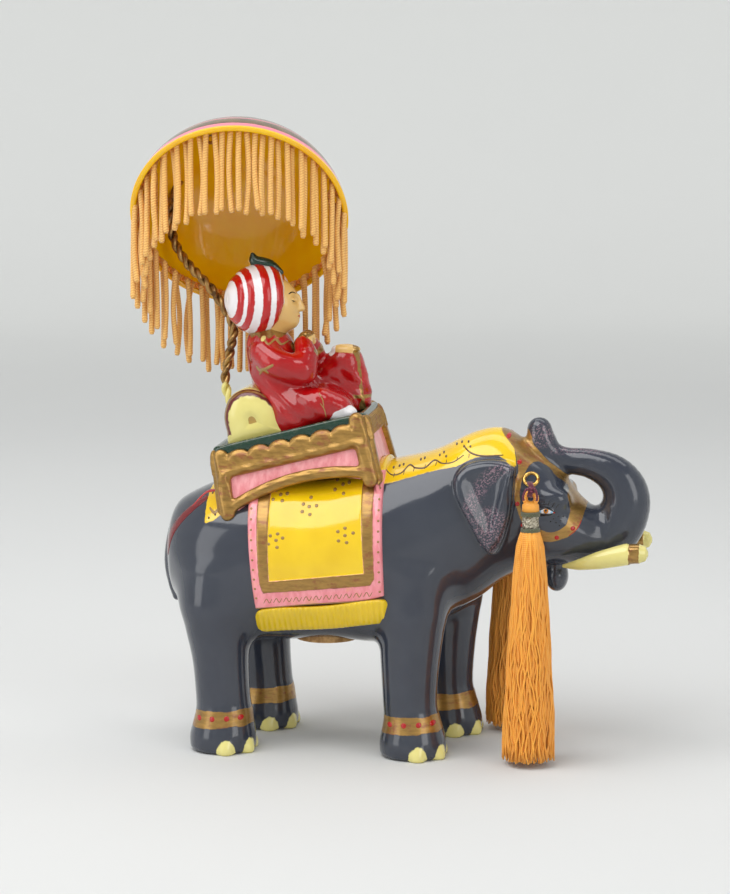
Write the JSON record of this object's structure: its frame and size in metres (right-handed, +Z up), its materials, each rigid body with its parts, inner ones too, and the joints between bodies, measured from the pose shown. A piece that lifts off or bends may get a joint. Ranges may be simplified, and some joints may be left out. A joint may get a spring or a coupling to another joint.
{
  "type": "still bank",
  "caption": "Elephant coin bank with a coin slot in its saddle seat, a seated rider, a fringed parasol, hanging tassels and a pull-out belly stopper.",
  "frame": {"origin": "middle of the footprint box, at the level of the soles", "axes": "+X towards the elephant's head, +Y to its left, +Z up"},
  "size_m": [0.1628, 0.0636, 0.1965],
  "materials": {
    "bronze_wire": "aged",
    "canopy_enamel": "glossy enamel",
    "gilt_wire": "bright",
    "gold_paint": "metallic gold paint over red primer",
    "green_enamel": "glossy enamel",
    "green_thread": "thread",
    "ivory_enamel": "glossy enamel",
    "maroon_thread": "thread",
    "orange_braid": "woven",
    "orange_thread": "silky thread",
    "pale_wood": "bare, sanded",
    "pink_enamel": "glossy enamel",
    "red_enamel": "glossy enamel with gold trim",
    "rider_head_enamel": "glossy enamel, striped turban and plain face",
    "screw_steel": "plain",
    "silver_foil": "crinkled foil",
    "slate_enamel": "glossy enamel",
    "yellow_enamel": "glossy enamel with hand-painted borders"
  },
  "bodies": {
    "bank": {"body_screws": "screw_steel", "bolster": "ivory_enamel", "cloth_band_left": "yellow_enamel", "cloth_band_right": "yellow_enamel", "deck_screws": "screw_steel", "elephant_left_half": "slate_enamel", "elephant_right_half": "slate_enamel", "fringe_braid": "orange_braid", "fringe_cords": "orange_braid", "parasol_canopy": "canopy_enamel", "parasol_stem": "bronze_wire", "rider_body": "red_enamel", "rider_head": "rider_head_enamel", "saddle_cloth_left": "yellow_enamel", "saddle_cloth_right": "yellow_enamel", "screw_eye_left": "gilt_wire", "screw_eye_right": "gilt_wire", "seat_box": "pink_enamel", "seat_deck": "green_enamel", "seat_frame_left": "gold_paint", "seat_frame_right": "gold_paint", "seat_screws": "screw_steel", "turban_crest": "green_enamel", "tusk_left": "ivory_enamel", "tusk_right": "ivory_enamel"},
    "belly_stopper": {"belly_stopper": "pale_wood"},
    "tie_right": {"tassel_tie_right": "maroon_thread"},
    "tassel_right": {"tassel_head_right": "orange_thread", "tassel_bindings_right": "green_thread", "tassel_wrap_right": "silver_foil", "tassel_skirt_right": "orange_thread"},
    "tie_left": {"tassel_tie_left": "maroon_thread"},
    "tassel_left": {"tassel_head_left": "orange_thread", "tassel_bindings_left": "green_thread", "tassel_wrap_left": "silver_foil", "tassel_skirt_left": "orange_thread"}
  },
  "joints": [
    {"name": "stopper_pull", "type": "slide", "parent": "bank", "child": "belly_stopper", "axis": [0, 0, -1], "range_m": [0, 0.02]},
    {"name": "tie_right_sway", "type": "hinge", "parent": "bank", "child": "tie_right", "pos_m": [0.04609, -0.02356, 0.08642], "axis": [1, 0, 0], "range_deg": [-40, 0]},
    {"name": "tassel_right_swing", "type": "hinge", "parent": "tie_right", "child": "tassel_right", "pos_m": [0.04609, -0.02356, 0.08282], "axis": [0, 1, 0], "range_deg": [-30, 12]},
    {"name": "tie_left_sway", "type": "hinge", "parent": "bank", "child": "tie_left", "pos_m": [0.03609, 0.02356, 0.08642], "axis": [1, 0, 0], "range_deg": [0, 40]},
    {"name": "tassel_left_swing", "type": "hinge", "parent": "tie_left", "child": "tassel_left", "pos_m": [0.03609, 0.02356, 0.08282], "axis": [0, 1, 0], "range_deg": [-30, 0]}
  ]
}
